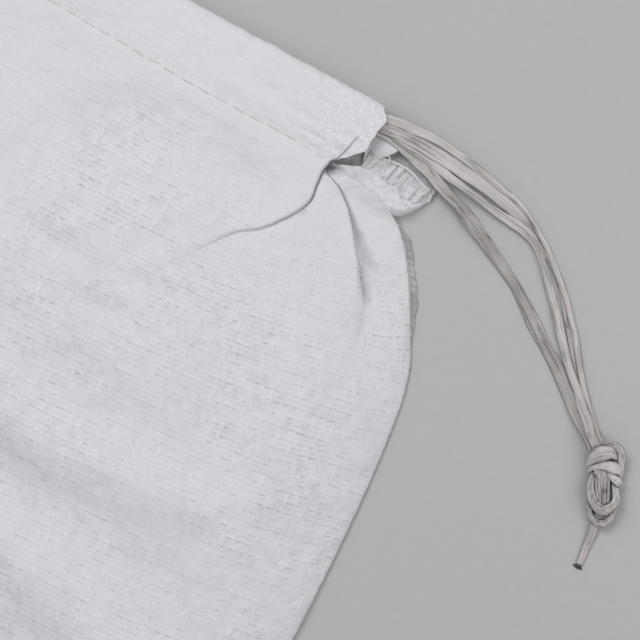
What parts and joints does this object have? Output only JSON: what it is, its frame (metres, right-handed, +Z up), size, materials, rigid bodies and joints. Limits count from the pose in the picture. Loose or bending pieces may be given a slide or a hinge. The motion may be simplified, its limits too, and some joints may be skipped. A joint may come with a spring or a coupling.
{
  "type": "woven sandbag",
  "caption": "Empty woven plastic sandbag lying flat, with a hemmed open mouth gathered at one corner and a drawstring loop that ends in a knot.",
  "frame": {"origin": "on the floor, under the middle of the bag's box, the drawstring left out", "axes": "+Y along the bag out of its mouth, +X across the bag towards the corner that the drawstring leaves, +Z up from the floor"},
  "size_m": [0.5151, 0.6, 0.0335],
  "materials": {
    "woven_cloth": "plain weave of flat white plastic tapes, soft sheen",
    "sewing_thread": "matt off-white thread",
    "drawstring": "flat fibrillated plastic tape, silky sheen along its length"
  },
  "bodies": {
    "root": {"bag_cloth": "woven_cloth", "hem_thread_front": "sewing_thread", "hem_thread_rear": "sewing_thread", "bottom_thread": "sewing_thread", "drawstring_strand_a": "drawstring", "drawstring_strand_b": "drawstring", "drawstring_strand_c": "drawstring", "drawstring_strand_d": "drawstring", "drawstring_knot": "drawstring", "drawstring_tail": "drawstring"}
  },
  "joints": []
}
